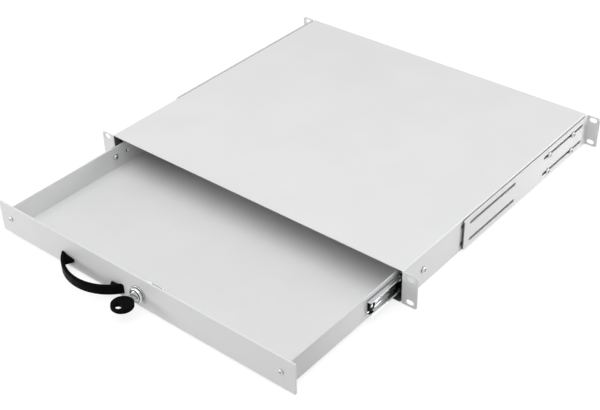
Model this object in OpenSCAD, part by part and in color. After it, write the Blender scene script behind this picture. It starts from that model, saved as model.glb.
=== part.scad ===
// Lockable sliding drawer for a 19-inch rack, one rack unit high.
// The origin is the centre of the four front rack holes, on the rear faces of the ears.
// +X is to the right seen from the front, +Y runs to the back and +Z is up.
// The drawer is drawn part way out.

/* [Rack] */
// Width over the two rack ears
rack_w = 482.6; // [480:0.1:484]
// Distance from the end of an ear to the centres of its slots
rack_hole_in = 8.75; // [8.3:0.05:9.3]
// Height between the slot centres of an ear
rack_hole_z = 31.75; // [31:0.05:32.4]
// Length of a rack slot
rack_slot_l = 10; // [8:0.1:11]
// Width of a rack slot
rack_slot_w = 6.8; // [6:0.1:7.2]
// Corner radius of the ears
ear_r = 3; // [1:0.1:5]
// Step from the top of the housing down to the top of an ear
ear_drop = 0.9; // [0.4:0.1:1.5]

/* [Housing] */
// How far the ears reach out past the side walls
ear_reach = 19.6; // [18.3:0.1:22]
// Height of the housing above the centres of the upper rack slots
housing_over_hole = 5.925; // [5.55:0.025:6.3]
// Thickness of the steel sheet
sheet_t = 1.2; // [1:0.05:1.4]
// Outer radius of the bends in the sheet
bend_r = 2; // [1.6:0.1:2.6]
// Width of the flanges that the side walls turn in at the back
rear_flange_w = 12; // [10:0.5:18]
// Gap between the base pan's upturned sides and the nuts above them
pan_nut_gap = 2.35; // [1:0.05:3.75]
// Distance of the rear screws from mid height
rear_screw_z = 12; // [9:0.5:15]

/* [Drawer] */
// How far the drawer is drawn out
open_at = 176.5; // [120:0.5:255]
// Gap behind the tray when the drawer is pushed in
tray_back_gap = 20.9; // [18.9:0.1:40]
// Gap between the tray's walls and the housing's top
tray_top_gap = 8.1; // [7:0.1:9.4]
// Gap between the tray and the housing's base
tray_gap = 1.8; // [1.2:0.1:2.4]
// Step from the housing's top down to the top of the front panel
panel_drop = 1; // [0.6:0.1:3]
// Thickness of the front panel
panel_t = 2; // [1.5:0.1:3]
// How far the panel reaches past each side of the housing
panel_over = 0.8; // [0.2:0.1:2]
// Corner radius of the panel
panel_r = 1.5; // [0.5:0.1:3]
// How far the panel hangs below the tray
panel_lap = 0.4; // [0.2:0.1:0.8]
// Distance of the panel screws from the sides of the tray
panel_screw_in = 6; // [5.5:0.1:12]
// Height of the panel screws above the tray's underside
panel_screw_up = 20.8; // [12:0.1:24]

/* [Slides] */
// How much the height of the cabinet rail is under that of the tray
slide_short = 4.3; // [3.7:0.1:6.3]
// Height of the slide's centre above the tray's middle
slide_rise = 2.05; // [1.35:0.05:2.55]
// Gap between the cabinet rail's lips and the drawer rail's web
web_gap = 0.35; // [0.3:0.05:1.5]
// Thickness of the rail steel
rail_t = 1.2; // [1:0.05:1.25]
// Radius of the balls
ball_r = 1.75; // [1.6:0.01:1.8]
// Number of balls in a row
ball_count = 8; // [4:1:8]
// Distance from the ends of the cage to its end balls
cage_end = 10; // [7:0.5:20]
// Length of the ball cage
cage_l = 104; // [100:1:106]
// Length of the cabinet rail, from which the housing has its depth
cabinet_rail_l = 280; // [260:1:300]
// Step from the front of the ears back to the cabinet rail
cabinet_rail_in = 8; // [4:0.1:12]
// Length of the drawer rail
drawer_rail_l = 250; // [240:1:260]
// Distance from the back of the tray to the end of the drawer rail
drawer_rail_back = 2; // [0.5:0.1:4]

/* [Lock and key] */
// Distance of the lock from the middle of the panel
lock_x = 5; // [-5:0.5:60]
// Height of the lock's axis above the tray's middle
lock_rise = 0.45; // [-1.15:0.05:0.75]
// Radius of the lock's threaded body
lock_body_r = 9; // [8:0.1:9.5]
// Length of the lock's body behind the panel's face
lock_body_l = 16.3; // [16:0.1:18]
// How far the bezel reaches past the lock's body
bezel_over = 1.5; // [1:0.1:3]
// How far the bezel stands off the panel
bezel_out = 5; // [3:0.1:7]
// Radius of the plug
plug_r = 6; // [5.6:0.1:6.5]
// Gap between the raised cam and the housing's top
cam_top_gap = 1.3; // [0.9:0.1:3.3]
// Width of the cam
cam_w = 12; // [10:0.1:13]
// Width across the key's head
key_head_w = 25.2; // [22:0.1:30]
// Thickness of the key's head
key_head_t = 5; // [4:0.1:7]
// Width of the key's blade
key_blade_w = 8; // [7:0.1:8.4]

/* [Handle] */
// Gap along the panel between the handle and the lock's bezel
handle_lock_gap = 11.4; // [8.5:0.1:60]
// Height of the handle's middle above the tray's underside
handle_up = 11; // [9:0.1:14]
// Length of the handle
handle_l = 100.5; // [96:0.5:106]
// How far the handle stands off the panel
handle_out = 26; // [22:0.5:34]
// Height of the handle's bow
bow_h = 12.4; // [11.6:0.1:14]
// Thickness of the handle's bow
bow_t = 4.5; // [4:0.1:5]
// Height of the handle's feet at their outer ends
foot_h = 10.4; // [8:0.1:10.6]
// Width of a foot along the panel
foot_w = 20.2; // [19:0.1:23]

/* [Rear brackets] */
// Length of a bracket from its front end to the back of its ear
bracket_l = 289; // [286:0.5:293]
// Thickness of the bracket plate
bracket_t = 1.6; // [1.2:0.1:2.5]
// Step from the housing's top down to the top of the bracket plate
bracket_drop = 1.25; // [1:0.05:2.5]
// Height of the bracket plate above the housing's underside
bracket_lift = 1.85; // [1:0.05:3]
// Distance from the long edges of the bracket to its rows of slots
bracket_row_in = 8.4; // [8:0.05:9]
// Play of a bolt in the bracket's slots
bracket_slot_play = 0.6; // [0.5:0.1:1.2]
// Distance from the bracket's front end to its front slots
bracket_slot_in = 11.4; // [8:0.1:14]
// Distance from the back of the bracket's ear to its rear slots
bracket_slot_back = 13.6; // [11:0.1:15]
// Thickness of the spacers between the bracket and the housing
spacer_t = 1.4; // [0.8:0.1:1.6]
// How far the bracket can be pushed to the front
bracket_at = 25; // [14:0.5:30]
// How far the bracket can be drawn out to the back
bracket_room = 10.4; // [10.2:0.1:14]
// Distance between the two bolts of a row
bolt_pitch = 59; // [50:1:62]
// Distance from the cabinet rail's back end to the first bolts
bolt_rail_gap = 16.7; // [6:0.1:24]

/* [Hidden] */
$fn = 64;
overrun = 1;

// Clearances
part_gap = 0.3;
running_gap = 0.1;
hole_gap = 0.1;
thread_gap = 0.05;
corner_gap = 0.4;
relief_w = 0.8;
relief_r = 1.5;

// Screws and nuts
m3_r = 1.5;
m3_head_r = 2.75;
m3_head_h = 1.8;
m3_nut_af = 5.5;
m3_nut_h = 2.4;
m4_r = 2;
m4_head_r = 3.8;
m4_head_h = 2.5;
m4_nut_af = 7;
m4_thin_nut_h = 2.2;
head_edge_share = 0.45;
head_top_share = 0.62;
recess_w_share = 0.28;
recess_l_share = 1.15;
recess_h_share = 0.5;
rear_screw_l = 6;
panel_screw_l = 6;
handle_screw_l = 9.5;
drawer_screw_l = 3.4;
nut_face_share = 0.1;
spacer_r = 4.5;

// Depth, from the cabinet rail over the bracket bolts to the back
cabinet_rail_y = -sheet_t + cabinet_rail_in;
bracket_slot_w = 2 * m4_r + bracket_slot_play;
bracket_slot_l = bracket_at + bolt_pitch + bracket_room + bracket_slot_w;
bolt_back = cabinet_rail_y + cabinet_rail_l + bolt_rail_gap + bolt_pitch;
bracket_back = bolt_back + bracket_at + bracket_slot_w / 2 + bracket_slot_back;
bracket_front = bracket_back - bracket_l;
bracket_ear_y = bracket_back - bracket_t;
house_back = bracket_ear_y;
housing_d = house_back + sheet_t;
rear_wall_y = house_back - 2 * sheet_t;

// Width and height of the housing
rack_hole_x = rack_w - 2 * rack_hole_in;
housing_w = rack_w - 2 * ear_reach;
housing_h = rack_hole_z + 2 * housing_over_hole;
house_top = housing_h / 2;
house_bot = -housing_h / 2;
under_top = house_top - sheet_t;
wall_out = housing_w / 2;
wall_in = wall_out - sheet_t;
rear_wall_top = under_top - part_gap;
flange_end_gap = 2.8;

// Rear brackets, in their place on the housing
bracket_in = wall_out + spacer_t + part_gap;
bracket_out = bracket_in + bracket_t;
bracket_bend_r = 3;
bracket_r = 2.5;
bracket_h = housing_h - bracket_drop - bracket_lift;
bracket_mid = house_bot + bracket_lift + bracket_h / 2;
bracket_row = bracket_h - 2 * bracket_row_in;
bracket_ear_h = housing_h - 2 * ear_drop;
bolt_head_x = bracket_out + part_gap;
bolt_end_gap = 0.1;
pan_side_h = bracket_mid - bracket_row / 2 - m4_nut_af / 2 - pan_nut_gap - house_bot;

// Slide section, measured from the housing wall
tray_bot = house_bot + sheet_t + tray_gap;
tray_h = under_top - tray_top_gap - tray_bot;
slide_h = tray_h - slide_short;
slide_z = tray_bot + tray_h / 2 + slide_rise;
race_r = ball_r + running_gap;
race_out = race_r + rail_t;
rail_corner_r = 1.6 * rail_t;
cabinet_lip_angle = -25;
drawer_lip_share = 0.82;
drawer_lip_angle = 180 + acos(drawer_lip_share);
cage_t = 0.6;
cage_gap = 0.5;
lip_gap = 0.4;
cage_u = rail_t + cage_gap;
ball_u = cage_u + cage_t + lip_gap + drawer_lip_share * race_out;
ball_z = slide_h / 2 - race_out;
slide_t = ball_u + race_out + web_gap + rail_t;

// Drawer
tray_top = tray_bot + tray_h;
tray_floor = tray_bot + sheet_t;
tray_out = wall_in - slide_t;
tray_in = tray_out - sheet_t;
tray_d = rear_wall_y - tray_back_gap + sheet_t + part_gap;
panel_w = housing_w + 2 * panel_over;
panel_bot = tray_bot - panel_lap;
panel_h = house_top - panel_drop - panel_bot;
panel_y = -sheet_t - part_gap - panel_t - open_at;
tray_y = panel_y + panel_t;
tray_front_in = tray_y + sheet_t;
tray_back = tray_y + tray_d;
drawer_rail_y = tray_back - drawer_rail_back - drawer_rail_l;

// Cage, stops and screws of the slides
cage_jaw = 1.1;
cage_windows = 6;
cage_window_w = 8;
cage_window_l = 9;
ball_socket_gap = 0.05;
ball_pitch = (cage_l - 2 * cage_end) / (ball_count - 1);
stop_t = 1.2;
stop_h = 10;
stop_short = 0.6;
cage_stop_gap = 1.8;
cage_push_gap = 1.5;
cage_open_y = cabinet_rail_y + stop_t + cage_stop_gap;
full_open_end = cage_open_y + cage_l + cage_push_gap + stop_t;
full_travel = drawer_rail_y + drawer_rail_l + open_at - full_open_end;
cage_y = cage_open_y + (full_travel - open_at) / 2;
cabinet_screw_share = [0.1132, 0.507, 0.9357];
cabinet_screw_in = cabinet_screw_share * cabinet_rail_l;
drawer_screw_share = [0.1552, 0.48, 0.92];
drawer_screw_in = drawer_screw_share * drawer_rail_l;
drawer_hole_share = 0.234;
drawer_hole_in = drawer_hole_share * drawer_rail_l;
drawer_hole_r = 2.25;
bumper_l = 10.6;
bumper_h = 10;
bumper_t = 2.1;
bumper_nose_r = 2;
rivet_r = 2.2;
rivet_h = 0.6;
rivet_shank_r = 1.3;

// Lock, cam and key
lock_z = tray_bot + tray_h / 2 + lock_rise;
lock_flats = 1.8 * lock_body_r;
bezel_r = lock_body_r + bezel_over;
bezel_chamfer = 1.6;
bezel_lip = 1.1;
bezel_flange_t = 1.5;
lock_nut_wall = 2;
lock_nut_af = 2 * (lock_body_r + lock_nut_wall);
lock_nut_h = 3;
plug_out = 0.5;
plug_chamfer = 0.5;
cam_gap = 0.5;
cam_t = 2;
cam_l = under_top - cam_top_gap - lock_z;
cam_tip_r = 2.2;
cam_square = 6;
cam_screw_l = 4;
cam_screw_head_h = 2.2;
keyway_gap = 0.35;
key_t = 2;
key_tip_gap = 2.8;
key_blade_l = bezel_out + plug_out + lock_body_l - key_tip_gap;
key_tip_l = 4;
key_shoulder_w = 10.4;
key_neck_l = 4.6;
key_tang_l = 9;
key_cut_share = [0.12, 0.3, 0.18, 0.36, 0.22];
key_cut_w = 1.6;
key_rim_r = 1.6;
key_sides = 8;
key_corner_share = 1.04;
key_slot_l = 9.5;
key_slot_w = 7.4;
key_slot_back = 6.6;
strike_w = 40;
strike_flange = 12;
strike_drop = 5.6;

// Handle
handle_x = lock_x - bezel_r - handle_lock_gap - handle_l / 2;
handle_z = tray_bot + handle_up;
bow_outer_r = (handle_l * handle_l / 4 + handle_out * handle_out) / (2 * handle_out);
bow_edge_r = 1.5;
bow_centre_y = panel_y - handle_out + bow_outer_r;
foot_slope = 7.5;
foot_rise = 10.5;
foot_tip_h = 4.6;
handle_screw_in = 12;

paint_colour = [0.86, 0.87, 0.85];
zinc_colour = [0.72, 0.74, 0.76];
chrome_colour = [0.8, 0.8, 0.82];
black_colour = [0.07, 0.07, 0.08];

// Shared outlines

// What a rounded corner loses: the corner is at the origin and the material lies towards +x and +y
module corner_loss(r) {
    difference() {
        translate([-overrun, -overrun]) square(r + overrun);
        translate([r, r]) circle(r = r);
    }
}

// The fillet in an inner corner at the origin, towards +x and +y, rooted in the sheets that meet there
module corner_fill(r) {
    difference() {
        translate([-r / 2, -r / 2]) square(3 * r / 2);
        translate([r, r]) circle(r = r);
    }
}

module rounded_rect(w, h, r) {
    square([w - 2 * r, h], center = true);
    square([w, h - 2 * r], center = true);
    for (x = [-1, 1], y = [-1, 1])
        translate([x * (w / 2 - r), y * (h / 2 - r)]) circle(r = r);
}

module slot_shape(l, w) {
    square([l - w, w], center = true);
    for (x = [-1, 1])
        translate([x * (l - w) / 2, 0]) circle(d = w);
}

// A ring kept from angle a to angle b
module ring_sector(r_in, r_out, a, b) {
    steps = 4;
    reach = 2 * r_out;
    fan = [for (i = [0:steps]) reach * [cos(a + (b - a) * i / steps), sin(a + (b - a) * i / steps)]];
    intersection() {
        difference() {
            circle(r = r_out);
            circle(r = r_in);
        }
        polygon(concat([[0, 0]], fan));
    }
}

// An outline in x and z, extruded along +Y from y
module along_y(y, l) {
    translate([0, y + l, 0]) rotate([90, 0, 0]) linear_extrude(l) children();
}

// An outline in y and z, extruded along +X from x
module along_x(x, l) {
    translate([x, 0, 0]) rotate([90, 0, 90]) linear_extrude(l) children();
}

// A screw along +Z: the underside of its head is at z = 0, the head is above it and the shank below
module pan_screw(r, l, head_r, head_h) {
    edge_h = head_edge_share * head_h;
    top_r = head_top_share * head_r;
    recess = [recess_l_share * head_r, recess_w_share * head_r, 2 * recess_h_share * head_h];
    difference() {
        rotate_extrude()
            polygon([[0, -l], [r, -l], [r, 0], [head_r, 0], [head_r, edge_h], [top_r, head_h], [0, head_h]]);
        for (a = [0, 90])
            rotate([0, 0, a]) translate([0, 0, head_h]) cube(recess, center = true);
    }
}

module hex_prism(af, h) {
    cylinder(r = af / 2 / cos(30), h = h, $fn = 6);
}

// A hexagonal nut standing on z = 0
module hex_nut(af, h, bore_r) {
    chamfer = nut_face_share * af;
    corner_r = af / 2 / cos(30);
    difference() {
        intersection() {
            hex_prism(af, h);
            rotate_extrude()
                polygon([[0, 0], [corner_r - chamfer, 0], [corner_r, chamfer / 2],
                    [corner_r, h - chamfer / 2], [corner_r - chamfer, h], [0, h]]);
        }
        translate([0, 0, -overrun]) cylinder(r = bore_r, h = h + 2 * overrun);
    }
}

// Housing

// The top and side walls as one bent section, in x and z
module shell_section() {
    difference() {
        union() {
            translate([-wall_out, house_bot]) square([housing_w, housing_h - bend_r]);
            translate([bend_r - wall_out, house_bot]) square([housing_w - 2 * bend_r, housing_h]);
            for (s = [-1, 1])
                translate([s * (wall_out - bend_r), house_top - bend_r]) circle(r = bend_r);
        }
        translate([-wall_in, house_bot - overrun])
            square([2 * wall_in, under_top - house_bot + overrun - bend_r]);
        translate([bend_r - wall_out, house_bot - overrun])
            square([housing_w - 2 * bend_r, under_top - house_bot + overrun]);
        for (s = [-1, 1])
            translate([s * (wall_out - bend_r), house_top - bend_r]) circle(r = bend_r - sheet_t);
    }
}

// One ear with its bend, on the right side
module ear() {
    ear_top = house_top - ear_drop;
    ear_h = ear_top - house_bot;
    ear_w = rack_w / 2 - wall_in;
    difference() {
        along_y(-sheet_t, sheet_t) translate([rack_w / 2 - ear_w / 2, ear_top - ear_h / 2]) {
            rounded_rect(ear_w, ear_h, ear_r);
            translate([-ear_w / 2, -ear_h / 2]) square([ear_w / 2, ear_h]);
        }
        for (z = [-1, 1])
            along_y(-sheet_t - overrun, sheet_t + 2 * overrun)
                translate([rack_hole_x / 2, z * rack_hole_z / 2]) slot_shape(rack_slot_l, rack_slot_w);
    }
    translate([wall_out, 0, house_bot]) linear_extrude(ear_h - bend_r) corner_fill(bend_r - sheet_t);
}

// The flange that closes the back of the right side wall
module rear_flange() {
    flange_h = housing_h - 2 * flange_end_gap;
    difference() {
        translate([wall_in - rear_flange_w, house_back - sheet_t, -flange_h / 2])
            cube([rear_flange_w + sheet_t / 2, sheet_t, flange_h]);
        for (z = [-1, 1])
            translate([wall_in - rear_flange_w / 2, house_back + overrun, z * rear_screw_z])
                rotate([90, 0, 0]) cylinder(r = m3_r + hole_gap, h = sheet_t + 2 * overrun);
    }
}

// Everything that is cut from the right side wall
module wall_cuts() {
    // The outer side of the ear's bend
    translate([wall_in, -sheet_t, house_bot - overrun])
        linear_extrude(under_top - house_bot + overrun) corner_loss(bend_r);
    // The outer side of the rear flange's bend
    translate([wall_out, house_back, house_bot - overrun]) rotate([0, 0, 180])
        linear_extrude(housing_h - bend_r + overrun) corner_loss(bend_r);
    // The reliefs at the ends of the rear flange
    for (z = [-1, 1])
        translate([wall_in - overrun, house_back - bend_r, z * (house_top - flange_end_gap + relief_w / 2)])
            translate([0, 0, -relief_w / 2]) cube([sheet_t + 2 * overrun, bend_r + overrun, relief_w]);
    for (i = [0:2])
        translate([wall_out, cabinet_rail_y + cabinet_screw_in[i], slide_z]) rotate([0, 90, 0])
            if (i == 0)
                translate([0, 0, -sheet_t - overrun])
                    cylinder(r = m4_r + thread_gap, h = sheet_t + 2 * overrun);
            else
                countersink();
    at_bolts() translate([wall_in - overrun, 0, 0]) rotate([0, 90, 0])
        cylinder(r = m4_r + hole_gap, h = sheet_t + 2 * overrun);
}

// The countersunk hole in the wall, with the wall's outer face at z = 0
module countersink() {
    translate([0, 0, -sheet_t - overrun]) cylinder(r = m4_r + thread_gap, h = sheet_t + 2 * overrun);
    translate([0, 0, -sheet_t]) cylinder(r1 = m4_r + thread_gap, r2 = m4_head_r + thread_gap, h = sheet_t);
    cylinder(r = m4_head_r + thread_gap, h = overrun);
}

module housing_shell() {
    color(paint_colour) difference() {
        union() {
            along_y(-sheet_t, housing_d) shell_section();
            for (s = [0, 1]) mirror([s, 0, 0]) {
                ear();
                rear_flange();
            }
        }
        for (s = [0, 1]) mirror([s, 0, 0]) wall_cuts();
    }
}

// The base with its upturned sides and the rear wall, inside the shell
module base_pan() {
    pan_l = rear_wall_y + 2 * sheet_t;
    inner_r = bend_r - sheet_t;
    wall_h = rear_wall_top - house_bot;
    wall_half = wall_in - sheet_t - corner_gap;
    color(paint_colour) difference() {
        union() {
            along_y(-sheet_t, pan_l) difference() {
                translate([-wall_in, house_bot]) square([2 * wall_in, pan_side_h]);
                translate([sheet_t - wall_in, house_bot + sheet_t])
                    square([2 * (wall_in - sheet_t), pan_side_h]);
                for (s = [0, 1]) mirror([s, 0]) translate([-wall_in, house_bot]) corner_loss(bend_r);
            }
            for (s = [0, 1]) mirror([s, 0, 0]) along_y(-sheet_t, pan_l)
                translate([sheet_t - wall_in, house_bot + sheet_t]) corner_fill(inner_r);
            translate([-wall_half, rear_wall_y, house_bot]) cube([2 * wall_half, sheet_t, wall_h]);
            along_x(-wall_half, 2 * wall_half)
                translate([rear_wall_y, house_bot + sheet_t]) mirror([1, 0]) corner_fill(inner_r);
        }
        // The outer side of the rear bend
        along_x(-wall_half, 2 * wall_half)
            translate([rear_wall_y + sheet_t, house_bot]) mirror([1, 0]) corner_loss(bend_r);
        for (s = [-1, 1]) {
            // Round reliefs where the sides and the rear wall meet
            translate([s * (wall_half + corner_gap / 2), rear_wall_y + sheet_t / 2, house_bot - overrun])
                cylinder(r = relief_r, h = sheet_t + inner_r + overrun);
            for (z = [-1, 1])
                translate([s * (wall_in - rear_flange_w / 2), house_back, z * rear_screw_z])
                    rotate([90, 0, 0]) cylinder(r = m3_r + thread_gap, h = 3 * sheet_t);
        }
    }
}

module rear_screws() {
    color(zinc_colour) for (x = [-1, 1], z = [-1, 1])
        translate([x * (wall_in - rear_flange_w / 2), house_back, z * rear_screw_z]) rotate([-90, 0, 0])
            pan_screw(m3_r, rear_screw_l, m3_head_r, m3_head_h);
}

// The angle under the housing's top that the lock's cam catches behind
module lock_strike() {
    strike_y = panel_y + open_at + lock_body_l + cam_gap - part_gap;
    color(paint_colour) along_x(lock_x - strike_w / 2, strike_w)
        translate([strike_y, under_top]) rotate([0, 0, 180]) {
            translate([bend_r, 0]) square([strike_flange - bend_r, sheet_t]);
            translate([0, bend_r]) square([sheet_t, strike_drop - bend_r]);
            translate([bend_r, bend_r]) ring_sector(bend_r - sheet_t, bend_r, 180, 270);
        }
}

// Slides: sections are drawn with x as the distance from the housing wall and y as the height

module cabinet_section() {
    top = slide_h / 2;
    translate([0, rail_corner_r - top]) square([rail_t, 2 * (top - rail_corner_r)]);
    for (s = [0, 1]) mirror([0, s]) {
        translate([rail_corner_r, top - rail_corner_r])
            ring_sector(rail_corner_r - rail_t, rail_corner_r, 90, 180);
        translate([rail_corner_r, top - rail_t]) square([ball_u - rail_corner_r, rail_t]);
        translate([ball_u, ball_z]) ring_sector(race_r, race_out, cabinet_lip_angle, 90);
    }
}

module drawer_section() {
    top = ball_z - race_r;
    translate([slide_t - rail_t, rail_corner_r - top]) square([rail_t, 2 * (top - rail_corner_r)]);
    for (s = [0, 1]) mirror([0, s]) {
        translate([slide_t - rail_corner_r, top - rail_corner_r])
            ring_sector(rail_corner_r - rail_t, rail_corner_r, 0, 90);
        translate([ball_u, top - rail_t]) square([slide_t - rail_corner_r - ball_u, rail_t]);
        translate([ball_u, ball_z]) ring_sector(race_r, race_out, drawer_lip_angle, 270);
    }
}

module cage_section() {
    leg_l = ball_u + cage_jaw - cage_u;
    translate([cage_u, -ball_z]) square([cage_t, 2 * ball_z]);
    for (s = [-1, 1])
        translate([cage_u, s * ball_z - cage_t / 2]) square([leg_l, cage_t]);
}

// A slide section extruded along the right housing wall from y
module slide_along(y, l) {
    translate([wall_in, y + l, slide_z]) mirror([1, 0, 0]) rotate([90, 0, 0]) linear_extrude(l) children();
}

// A place on the right slide: u from the wall, y and z
module on_slide(u, y) {
    translate([wall_in - u, y, slide_z]) children();
}

module cabinet_rail() {
    color(zinc_colour) {
        difference() {
            slide_along(cabinet_rail_y, cabinet_rail_l) cabinet_section();
            for (y = cabinet_screw_in)
                on_slide(-overrun, cabinet_rail_y + y) rotate([0, -90, 0])
                    cylinder(r = m4_r + thread_gap, h = rail_t + 2 * overrun);
        }
        // The tab that stops the cage
        on_slide(cage_u + cage_t, cabinet_rail_y) translate([0, 0, -stop_h / 2])
            cube([cage_u + cage_t - rail_t / 2, stop_t, stop_h]);
    }
}

module cabinet_rail_screws() {
    color(zinc_colour) for (i = [0:2])
        translate([wall_out, cabinet_rail_y + cabinet_screw_in[i], slide_z]) rotate([0, 90, 0])
            if (i == 0) pan_screw(m4_r, sheet_t + rail_t, m4_head_r, m4_head_h);
            else flush_screw();
}

// A countersunk screw whose flat top is at z = 0
module flush_screw() {
    difference() {
        rotate_extrude()
            polygon([[0, -sheet_t - rail_t], [m4_r, -sheet_t - rail_t], [m4_r, -sheet_t],
                [m4_head_r, 0], [0, 0]]);
        for (a = [0, 90])
            rotate([0, 0, a])
                cube([recess_l_share * m4_head_r, recess_w_share * m4_head_r, sheet_t], center = true);
    }
}

module drawer_rail() {
    rail_end = drawer_rail_y + drawer_rail_l;
    color(zinc_colour) {
        difference() {
            slide_along(drawer_rail_y, drawer_rail_l) drawer_section();
            for (y = drawer_screw_in)
                on_slide(slide_t + overrun, drawer_rail_y + y) rotate([0, 90, 0])
                    cylinder(r = m4_r + thread_gap, h = rail_t + 2 * overrun);
            on_slide(slide_t + overrun, drawer_rail_y + drawer_hole_in) rotate([0, 90, 0])
                cylinder(r = drawer_hole_r, h = rail_t + 2 * overrun);
            on_slide(slide_t + overrun, drawer_rail_y + bumper_l / 2) rotate([0, 90, 0])
                cylinder(r = rivet_shank_r, h = rail_t + 2 * overrun);
        }
        // The tab that meets the cage when the drawer is fully out
        on_slide(slide_t - rail_t / 2, rail_end - stop_t) translate([0, 0, -stop_h / 2])
            cube([slide_t - rail_t / 2 - cage_u - stop_short / 2, stop_t, stop_h]);
    }
}

module drawer_rail_screws() {
    color(zinc_colour) for (y = drawer_screw_in)
        on_slide(slide_t + sheet_t, drawer_rail_y + y) rotate([0, -90, 0])
            pan_screw(m4_r, drawer_screw_l, m4_head_r, m4_head_h);
}

// The black stop at the front end of the drawer rail
module rail_bumper() {
    color(black_colour) difference() {
        on_slide(slide_t - rail_t, drawer_rail_y + bumper_l / 2) rotate([90, 0, 90])
            linear_extrude(bumper_t) rounded_rect(bumper_l, bumper_h, bumper_nose_r);
        on_slide(slide_t, drawer_rail_y + bumper_l / 2) rotate([0, 90, 0])
            cylinder(r = rivet_shank_r, h = slide_t);
    }
}

module bumper_rivet() {
    color(zinc_colour) on_slide(slide_t, drawer_rail_y + bumper_l / 2) rotate([0, 90, 0]) {
        cylinder(r = rivet_shank_r, h = rail_t + bumper_t + rivet_h / 2);
        translate([0, 0, rail_t + bumper_t]) cylinder(r1 = rivet_r, r2 = rivet_shank_r, h = rivet_h);
    }
}

function ball_row() = [for (i = [0:ball_count - 1]) cage_y + cage_end + i * ball_pitch];

module ball_cage() {
    color(zinc_colour) difference() {
        slide_along(cage_y, cage_l) cage_section();
        for (y = ball_row(), s = [-1, 1])
            on_slide(ball_u, y) translate([0, 0, s * ball_z - cage_t])
                cylinder(r = ball_r + ball_socket_gap, h = 2 * cage_t);
        for (i = [0:cage_windows - 1])
            on_slide(cage_u + cage_t + overrun, cage_y + cage_l * (i + 0.5) / cage_windows)
                rotate([90, 0, 90]) linear_extrude(cage_t + 2 * overrun)
                    slot_shape(cage_window_l, cage_window_w);
    }
}

module balls() {
    color(chrome_colour) for (y = ball_row(), s = [-1, 1])
        on_slide(ball_u, y) translate([0, 0, s * ball_z]) sphere(r = ball_r);
}

// Drawer

module tray() {
    inner_r = bend_r - sheet_t;
    end_half = tray_in - corner_gap;
    wall_h = tray_top - tray_bot;
    color(paint_colour) difference() {
        union() {
            along_y(tray_y, tray_d) difference() {
                translate([-tray_out, tray_bot]) square([2 * tray_out, tray_h]);
                translate([-tray_in, tray_floor]) square([2 * tray_in, tray_h]);
                for (s = [0, 1]) mirror([s, 0]) translate([-tray_out, tray_bot]) corner_loss(bend_r);
            }
            for (s = [0, 1]) mirror([s, 0, 0])
                along_y(tray_y, tray_d) translate([-tray_in, tray_floor]) corner_fill(inner_r);
            for (y = [tray_y, tray_back - sheet_t])
                translate([-end_half, y, tray_bot]) cube([2 * end_half, sheet_t, wall_h]);
            along_x(-end_half, 2 * end_half) {
                translate([tray_front_in, tray_floor]) corner_fill(inner_r);
                translate([tray_back - sheet_t, tray_floor]) mirror([1, 0]) corner_fill(inner_r);
            }
        }
        along_x(-end_half, 2 * end_half) {
            translate([tray_y, tray_bot]) corner_loss(bend_r);
            translate([tray_back, tray_bot]) mirror([1, 0]) corner_loss(bend_r);
        }
        // Round reliefs at the four corners of the floor
        for (x = [-1, 1], y = [tray_y + sheet_t / 2, tray_back - sheet_t / 2])
            translate([x * (end_half + corner_gap / 2), y, tray_bot - overrun])
                cylinder(r = relief_r, h = sheet_t + inner_r + overrun);
        for (s = [0, 1]) mirror([s, 0, 0]) {
            for (y = drawer_screw_in)
                on_slide(slide_t - overrun, drawer_rail_y + y) rotate([0, -90, 0])
                    cylinder(r = m4_r + hole_gap, h = sheet_t + 2 * overrun);
            on_slide(slide_t - overrun, drawer_rail_y + drawer_hole_in) rotate([0, -90, 0])
                cylinder(r = drawer_hole_r, h = sheet_t + 2 * overrun);
        }
        front_holes(tray_y, sheet_t);
    }
}

// The holes that the panel and the tray's front wall share, from y through a thickness t
module front_holes(y, t) {
    along_y(y - overrun, t + 2 * overrun) {
        translate([lock_x, lock_z]) intersection() {
            circle(r = lock_body_r + hole_gap);
            square([2 * lock_body_r + overrun, lock_flats + 2 * hole_gap], center = true);
        }
        for (s = [-1, 1]) {
            translate([handle_x + s * (handle_l / 2 - handle_screw_in), handle_z])
                circle(r = m4_r + hole_gap);
            translate([s * (tray_out - panel_screw_in), tray_bot + panel_screw_up])
                circle(r = m3_r + hole_gap);
        }
    }
}

module front_panel() {
    color(paint_colour) difference() {
        along_y(panel_y, panel_t)
            translate([0, panel_bot + panel_h / 2]) rounded_rect(panel_w, panel_h, panel_r);
        front_holes(panel_y, panel_t);
    }
}

module panel_screws() {
    color(zinc_colour) for (s = [-1, 1])
        translate([s * (tray_out - panel_screw_in), panel_y, tray_bot + panel_screw_up]) rotate([90, 0, 0])
            pan_screw(m3_r, panel_screw_l, m3_head_r, m3_head_h);
}

module panel_nuts() {
    color(zinc_colour) for (s = [-1, 1])
        translate([s * (tray_out - panel_screw_in), tray_front_in, tray_bot + panel_screw_up])
            rotate([-90, 0, 0]) hex_nut(m3_nut_af, m3_nut_h, m3_r + thread_gap);
}

// Lock and key, with the lock's axis along y

module on_lock(y) {
    translate([lock_x, panel_y + y, lock_z]) rotate([-90, 0, 0]) children();
}

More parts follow.
